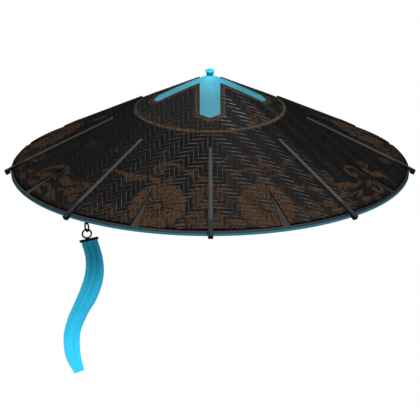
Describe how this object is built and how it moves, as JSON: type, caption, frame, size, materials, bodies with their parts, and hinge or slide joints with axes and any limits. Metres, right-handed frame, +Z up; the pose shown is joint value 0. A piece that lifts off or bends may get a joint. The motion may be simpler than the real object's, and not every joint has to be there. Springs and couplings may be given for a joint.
{
  "type": "wide conical samurai hat with ribbon drop",
  "caption": "Wide shallow cone hat: a woven black cover over a cloth lining, with a cross cut in the crown, radial ribs, a button on top and a ribbon hanging from rings at the rim.",
  "frame": {"origin": "on the hat's axis, at the height where a head meets the lining, 124.5 mm above the rim plane", "axes": "+Z up along the hat's axis, -Y towards the wearer's front, +X to the wearer's left, so the ribbon hangs at the front on the wearer's right"},
  "size_m": [0.5786, 0.5786, 0.3817],
  "materials": {
    "lining_cloth": "matt closely woven cyan cloth",
    "woven_lacquer": "black lacquered twill weave with worn bronze paint",
    "band_lacquer": "satin dark grey lacquer with a reddish worn edge",
    "grey_cane": "satin grey split cane",
    "hook_lacquer": "satin near-black paint",
    "black_wire": "black metal",
    "ribbon_cloth": "soft satin ribbon, dyed from teal at the top to bright cyan"
  },
  "bodies": {
    "root": {"lining_0": "lining_cloth", "lining_1": "lining_cloth", "lining_2": "lining_cloth", "lining_3": "lining_cloth", "lining_4": "lining_cloth", "lining_5": "lining_cloth", "lining_6": "lining_cloth", "lining_7": "lining_cloth", "rim_band": "band_lacquer", "woven_shell": "woven_lacquer", "knob": "lining_cloth", "ribbon_eye": "black_wire", "ring_upper": "black_wire", "ring_lower": "black_wire", "ribbon_clamp": "black_wire", "ribbon": "ribbon_cloth", "rib_0": "grey_cane", "rib_1": "grey_cane", "rib_2": "grey_cane", "rib_3": "grey_cane", "rib_4": "grey_cane", "rib_5": "grey_cane", "rib_6": "grey_cane", "rib_7": "grey_cane", "rib_hook_0": "hook_lacquer", "rib_hook_1": "hook_lacquer", "rib_hook_2": "hook_lacquer", "rib_hook_3": "hook_lacquer", "rib_hook_4": "hook_lacquer", "rib_hook_5": "hook_lacquer", "rib_hook_6": "hook_lacquer", "rib_hook_7": "hook_lacquer"}
  },
  "joints": []
}
